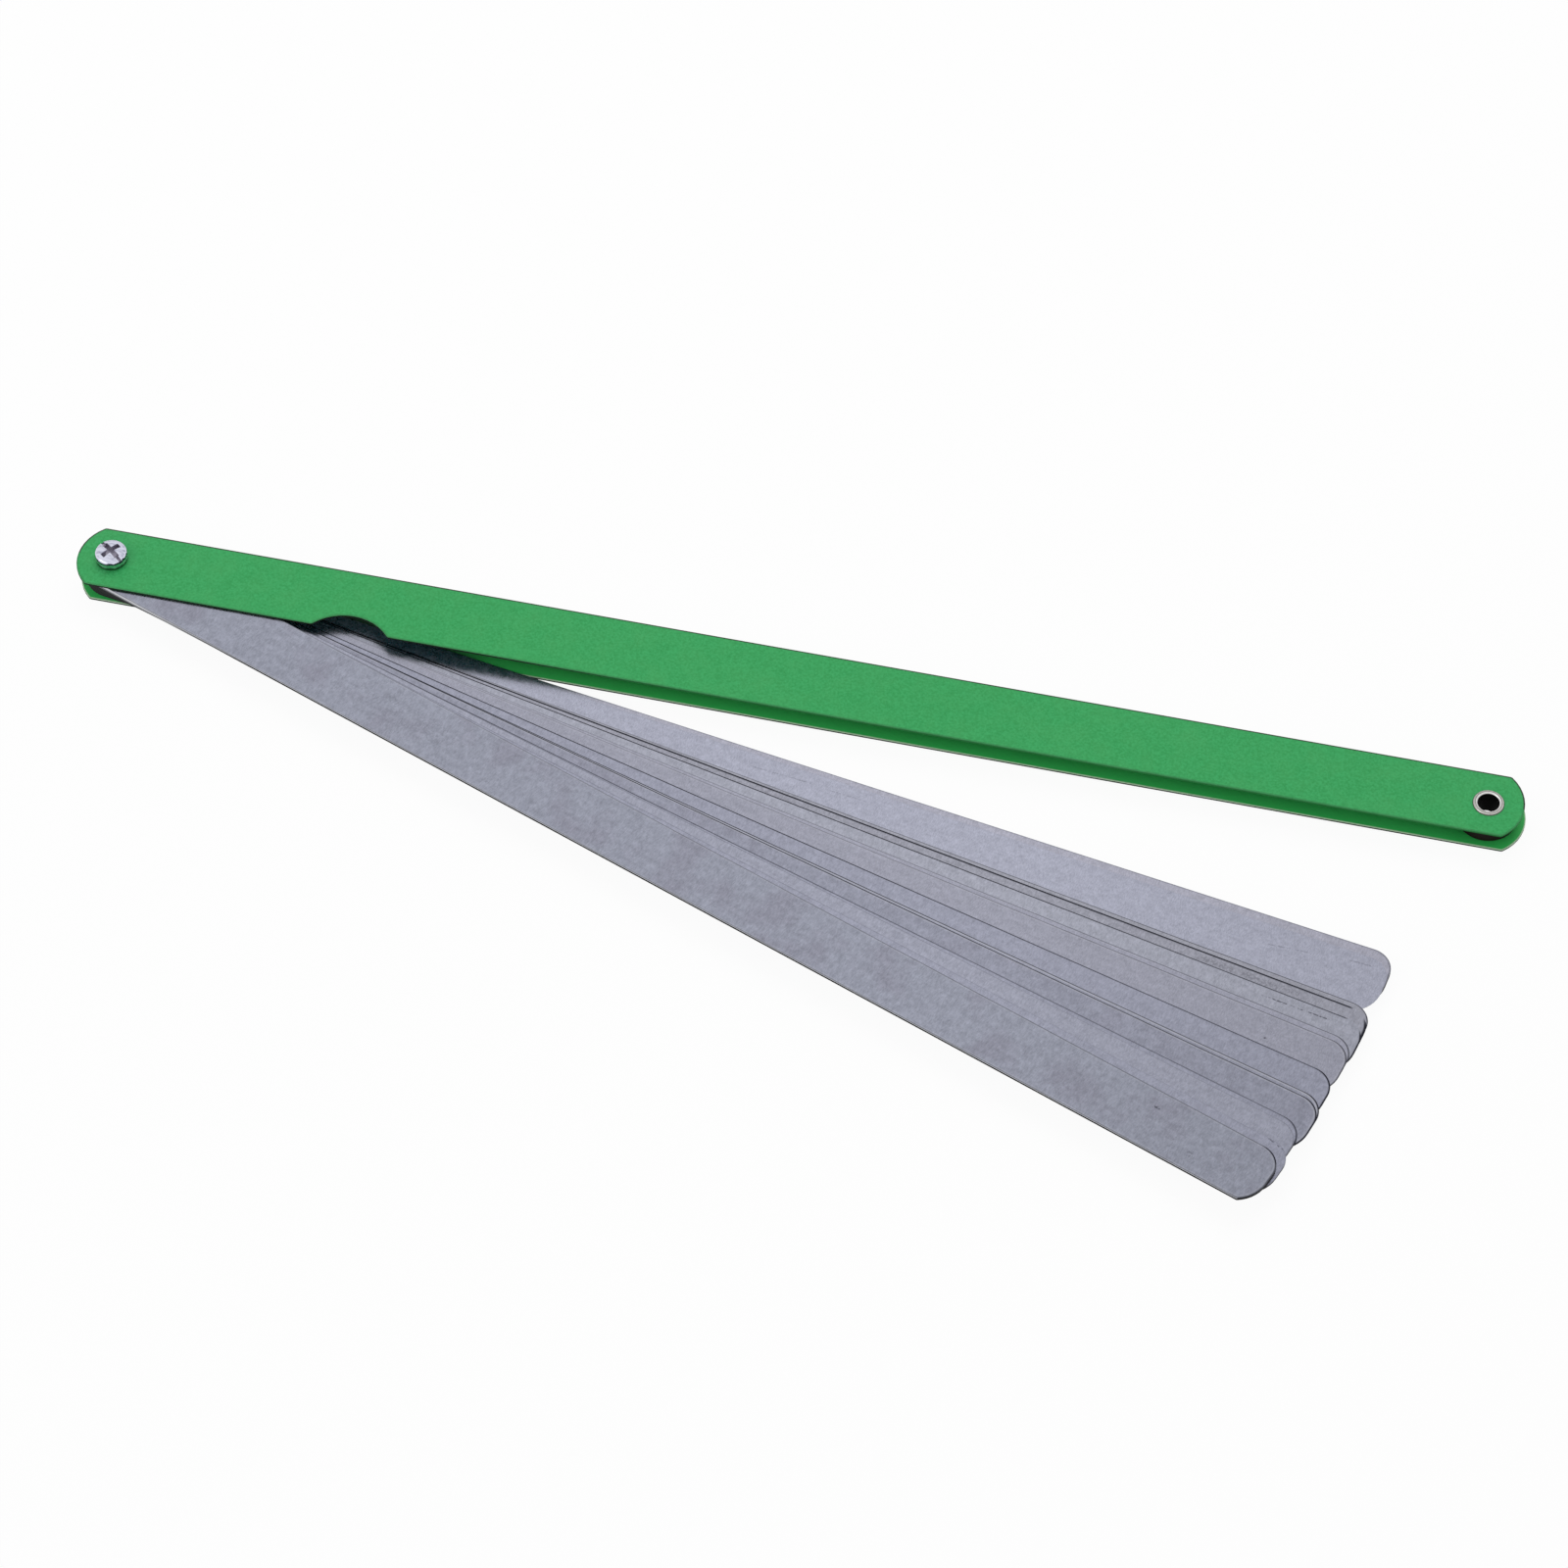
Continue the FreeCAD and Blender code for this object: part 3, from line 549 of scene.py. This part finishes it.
for number, (name, look) in enumerate(leafLooks.items()):
    makeLeafSteel(name, number, {**usualLook, **look})
print("leaves ground:", len(leafLooks))


# Screw and barrel nut: bright zinc plate over turned steel, smooth with bluish glints and
# scuffs. The recess takes painted shade and is mostly non-metal, and bands of painted
# reflection, highlight and shade run round the side: green from the cover at the foot, a
# highlight band, and a dark band under the crown's corner
zinc = {
    "nodes": ("pivot_screw", "pivot_barrel_nut"),
    "colour": "#D4D6E6", "scuffed": "#9DA0B2", "recess": "#A39EAE",
    "roughness": 0.2, "scuffedRoughness": 0.45,
    "scuff": 0.9 * mm, "scuffStretch": (0.5, 1.6, 1), "scuffSpan": (0.45, 0.7),
    "scuffHeight": 0.03 * mm, "bump": 0.4,
    "crownCentre": (0, 0, 1.11 * mm), "crownRadius": 8.54 * mm,
    "crownEdge": (3.4 * mm, 3.3 * mm),
    "recessBelow": (0.08 * mm, 0.35 * mm),   # under the crown
    "recessMetal": 0.2,                      # the rest is non-metal, under its painted shade
    "sideFrom": (3.1 * mm, 3.25 * mm),
    "waver": 0.2 * mm, "waverSpan": (0.3, 0.7),
    "bandSoft": 0.06,
    "bands": (   # up the side from this height in mm on, its colour: a painted green reflection of the cover, a grey step, a painted highlight, painted shade, then the zinc
        (0.0, "#5C7A68"), (7.2, "#8C9C9C"), (7.45, "#DCE4E8"), (8.25, "#343C48"), (8.78, "#D4D6E6"),
    ),
}


def recessIn(tree, place, radius):
    # 1 down in the recess: below the domed crown, but not out at the side
    dome = addNode(tree, "VectorMath", {0: place, 1: zinc["crownCentre"]}, operation="SUBTRACT")
    dome = addNode(tree, "VectorMath", {0: dome}, operation="LENGTH")
    deepOver = [zinc["crownRadius"] - below for below in zinc["recessBelow"]]
    deep = addNode(tree, "MapRange", {"Value": dome, **over(*deepOver)})
    middle = addNode(tree, "MapRange", {"Value": radius, **over(*zinc["crownEdge"])})
    return addNode(tree, "Math", {0: deep, 1: middle}, operation="MULTIPLY")


def makeZinc():
    material, tree, shader, place = startMaterial("brightZincPlate")
    drawn = addNode(tree, "Mapping", {"Vector": place, "Scale": zinc["scuffStretch"]})
    scuffs = addNode(tree, "TexNoise", {"Vector": drawn, "Scale": 1 / zinc["scuff"], "Detail": 4.0})
    worn = addNode(tree, "MapRange", {"Value": scuffs, **over(*zinc["scuffSpan"])})
    body = addNode(tree, "Mix", {"Factor": worn, "A": linear(zinc["colour"]), "B": linear(zinc["scuffed"])},
                   data_type="RGBA")
    radius = radiusFrom(tree, place, (0, 0, 0))
    # painted shade in the recess
    recess = recessIn(tree, place, radius)
    body = addNode(tree, "Mix", {"Factor": recess, "A": body, "B": linear(zinc["recess"])}, data_type="RGBA")

    # the painted bands of reflection, highlight and shade round the side waver with the scuffs
    height = addNode(tree, "SeparateXYZ", {0: place}).node.outputs[2]
    waver = addNode(tree, "MapRange", {"Value": scuffs, **over(*zinc["waverSpan"]),
                                       "To Min": -zinc["waver"], "To Max": zinc["waver"]})
    height = addNode(tree, "Math", {0: height, 1: waver}, operation="ADD")
    band = steppedColour(tree, height, zinc["bands"], zinc["bandSoft"])
    outside = addNode(tree, "MapRange", {"Value": radius, **over(*zinc["sideFrom"])})
    body = addNode(tree, "Mix", {"Factor": outside, "A": body, "B": band}, data_type="RGBA")

    metal = addNode(tree, "MapRange", {"Value": recess, "To Min": 1.0, "To Max": zinc["recessMetal"]})
    rough = addNode(tree, "MapRange", {"Value": scuffs, **over(*zinc["scuffSpan"]),
                                       "To Min": zinc["roughness"], "To Max": zinc["scuffedRoughness"]})
    bump = addNode(tree, "Bump", {"Height": scuffs, "Strength": zinc["bump"],
                                  "Distance": zinc["scuffHeight"]})
    feed(shader, {"Base Color": body, "Metallic": metal, "Roughness": rough, "Normal": bump})
    give(material, *zinc["nodes"])


makeZinc()
print("screw and nut plated")


# Eyelet: drawn steel tube with its lip rolled over, dull nickel colour: a bright inner roll, a
# greyer nicked outer one with a dark line round it, and black inside the bore
eyelet = {
    "node": "end_eyelet",
    "centre": (303 * mm, 0, 0),
    "ringSoft": 0.04,
    "rings": (   # from this radius in mm on, the lip's colour
        (0.0, "#030303"), (2.36, "#D9D8D6"), (2.72, "#77746F"), (2.86, "#B4B2AE"), (3.26, "#5A5A55"),
    ),
    "nick": 0.5 * mm, "nickSpan": (0.58, 0.7), "nickHeight": 0.03 * mm, "bump": 0.4,
    "nickColour": "#6A6664",
    "nickedFrom": (2.5 * mm, 2.9 * mm),
    "lipFrom": (2.3 * mm, 2.4 * mm),
    "boreRoughness": 0.8, "roughness": 0.32,
}


def makeEyelet():
    material, tree, shader, place = startMaterial("rolledNickelSteel")
    radius = radiusFrom(tree, place, eyelet["centre"])
    body = steppedColour(tree, radius, eyelet["rings"], eyelet["ringSoft"])
    nicks = addNode(tree, "TexNoise", {"Vector": place, "Scale": 1 / eyelet["nick"], "Detail": 3.0})
    nicked = addNode(tree, "MapRange", {"Value": nicks, **over(*eyelet["nickSpan"])})
    onLip = addNode(tree, "MapRange", {"Value": radius, **over(*eyelet["nickedFrom"])})
    nicked = addNode(tree, "Math", {0: nicked, 1: onLip}, operation="MULTIPLY")
    body = addNode(tree, "Mix", {"Factor": nicked, "A": body, "B": linear(eyelet["nickColour"])},
                   data_type="RGBA")
    rough = addNode(tree, "MapRange", {"Value": radius, **over(*eyelet["lipFrom"]),
                                       "To Min": eyelet["boreRoughness"], "To Max": eyelet["roughness"]})
    bump = addNode(tree, "Bump", {"Height": nicks, "Strength": eyelet["bump"],
                                  "Distance": eyelet["nickHeight"]})
    feed(shader, {"Base Color": body, "Metallic": 1.0, "Roughness": rough, "Normal": bump})
    give(material, eyelet["node"])


makeEyelet()
print("eyelet rolled")


# Spacer: moulded black nylon washer, slightly brown, matt because its surface has gone dull
spacer = {
    "node": "end_spacer",
    "colour": "#100B09", "worn": "#1E1512",
    "skin": 0.4 * mm, "skinHeight": 0.02 * mm, "bump": 0.3,
    "roughness": 0.7, "specular": 0.15,
}


def makeSpacer():
    material, tree, shader, place = startMaterial("mouldedBlackNylon")
    skin = addNode(tree, "TexNoise", {"Vector": place, "Scale": 1 / spacer["skin"], "Detail": 2.0})
    body = addNode(tree, "Mix", {"Factor": skin, "A": linear(spacer["colour"]), "B": linear(spacer["worn"])},
                   data_type="RGBA")
    bump = addNode(tree, "Bump", {"Height": skin, "Strength": spacer["bump"],
                                  "Distance": spacer["skinHeight"]})
    feed(shader, {"Base Color": body, "Roughness": spacer["roughness"],
                  "Specular IOR Level": spacer["specular"], "Normal": bump})
    give(material, spacer["node"])


makeSpacer()
print("spacer moulded")
